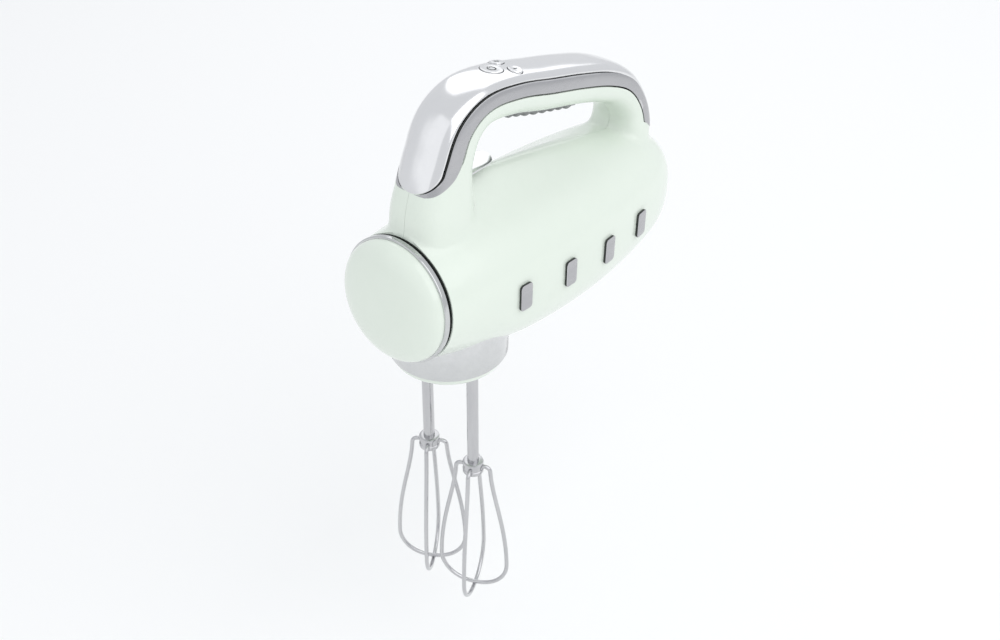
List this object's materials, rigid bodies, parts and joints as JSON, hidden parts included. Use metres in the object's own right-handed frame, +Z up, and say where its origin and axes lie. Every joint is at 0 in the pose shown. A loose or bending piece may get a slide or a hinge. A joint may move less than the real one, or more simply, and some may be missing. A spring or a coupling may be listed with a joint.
{
  "type": "hand mixer",
  "caption": "Electric hand mixer with a closed loop handle, domed nose, push buttons, an eject lever and pull-out wire beaters driven by a worm gearbox.",
  "frame": {"origin": "middle of the handle's grip, on the part's centre plane, above the rubber pad", "axes": "+X towards the nose, +Y to the mixer's left, +Z up along the beaters, out of the bowl"},
  "size_m": [0.2353, 0.0928, 0.3538],
  "materials": {
    "mint_plastic": "gloss",
    "chrome_trim": "polished",
    "dark_seal": "matte",
    "soft_rubber": "matte",
    "circuit_board": "satin",
    "switch_plastic": "satin",
    "zinc_screw": "satin",
    "white_nylon": "satin",
    "bronze": "satin",
    "motor_steel": "satin",
    "laminated_iron": "matte",
    "brown_phenolic": "satin",
    "carbon": "matte",
    "copper_winding": "satin",
    "beater_steel": "polished"
  },
  "bodies": {
    "housing": {"left_shell": "mint_plastic", "right_shell": "mint_plastic", "nose_cap": "mint_plastic", "nose_ring": "chrome_trim", "nose_seal": "dark_seal", "neck": "mint_plastic", "collar_ring": "chrome_trim", "handle_trim": "chrome_trim", "handle_seal": "dark_seal", "handle_top": "chrome_trim", "grip_pad": "soft_rubber", "button_board": "circuit_board", "push_switches": "switch_plastic", "flank_badges": "chrome_trim", "heel_cover": "mint_plastic", "heel_pad": "soft_rubber", "cord_gland": "dark_seal", "control_board": "circuit_board", "shell_screws": "zinc_screw", "gearbox_base": "white_nylon", "gearbox_cover": "white_nylon", "gearbox_screws": "zinc_screw", "spindle_bushes": "bronze", "worm_bearing": "bronze", "motor_can": "motor_steel", "motor_stator": "laminated_iron", "motor_mounts": "soft_rubber", "rear_bearing": "bronze", "brush_holders": "brown_phenolic", "brushes": "carbon", "lever_pin": "zinc_screw", "lever_bracket": "white_nylon", "ejector_spring": "zinc_screw"},
    "rotor": {"rotor_shaft": "motor_steel", "armature": "copper_winding", "commutator": "copper_winding", "worm": "motor_steel", "fan": "white_nylon"},
    "left_drive": {"left_spindle": "motor_steel", "left_worm_wheel": "white_nylon"},
    "right_drive": {"right_spindle": "motor_steel", "right_worm_wheel": "white_nylon"},
    "left_beater": {"left_stem": "beater_steel", "left_hub": "beater_steel", "left_outer_loop": "beater_steel", "left_inner_loop": "beater_steel"},
    "right_beater": {"right_stem": "beater_steel", "right_hub": "beater_steel", "right_outer_loop": "beater_steel", "right_inner_loop": "beater_steel"},
    "lever": {"eject_lever": "chrome_trim"},
    "ejector": {"ejector": "white_nylon"},
    "power_button": {"power_button": "chrome_trim"},
    "minus_button": {"minus_button": "chrome_trim"},
    "plus_button": {"plus_button": "chrome_trim"}
  },
  "joints": [
    {"name": "rotor_spin", "type": "hinge", "parent": "housing", "child": "rotor", "pos_m": [0.072, 0, -0.094], "axis": [1, 0, 0], "continuous": true},
    {"name": "left_spindle_spin", "type": "hinge", "parent": "housing", "child": "left_drive", "pos_m": [0.072, 0.018, -0.094], "axis": [0, 0, 1], "continuous": true},
    {"name": "right_spindle_spin", "type": "hinge", "parent": "housing", "child": "right_drive", "pos_m": [0.072, -0.018, -0.094], "axis": [0, 0, 1], "continuous": true},
    {"name": "left_beater_slide", "type": "slide", "parent": "left_drive", "child": "left_beater", "axis": [0, 0, -1], "range_m": [0, 0.05]},
    {"name": "right_beater_slide", "type": "slide", "parent": "right_drive", "child": "right_beater", "axis": [0, 0, -1], "range_m": [0, 0.05]},
    {"name": "eject_lever_tilt", "type": "hinge", "parent": "housing", "child": "lever", "pos_m": [0.084, 0, -0.027], "axis": [0, -1, 0], "range_deg": [0, 6], "stiffness_Nm_per_rad": 2, "springref_deg": -5.73},
    {"name": "ejector_slide", "type": "slide", "parent": "housing", "child": "ejector", "axis": [0, 0, -1], "range_m": [0, 0.0024], "deforming": ["ejector_spring"]},
    {"name": "power_button_press", "type": "slide", "parent": "housing", "child": "power_button", "axis": [0.1774, 0, -0.9841], "range_m": [0, 0.001], "stiffness_N_per_m": 800, "springref_m": -0.001},
    {"name": "minus_button_press", "type": "slide", "parent": "housing", "child": "minus_button", "axis": [0.2316, 0, -0.9728], "range_m": [0, 0.001], "stiffness_N_per_m": 600, "springref_m": -0.001},
    {"name": "plus_button_press", "type": "slide", "parent": "housing", "child": "plus_button", "axis": [0.2316, 0, -0.9728], "range_m": [0, 0.001], "stiffness_N_per_m": 600, "springref_m": -0.001}
  ],
  "couplings": [
    {"joint": "left_spindle_spin", "follows": "rotor_spin", "ratio": -0.038462},
    {"joint": "right_spindle_spin", "follows": "rotor_spin", "ratio": 0.038462},
    {"joint": "ejector_slide", "follows": "eject_lever_tilt", "m_per_rad": 0.01719}
  ]
}
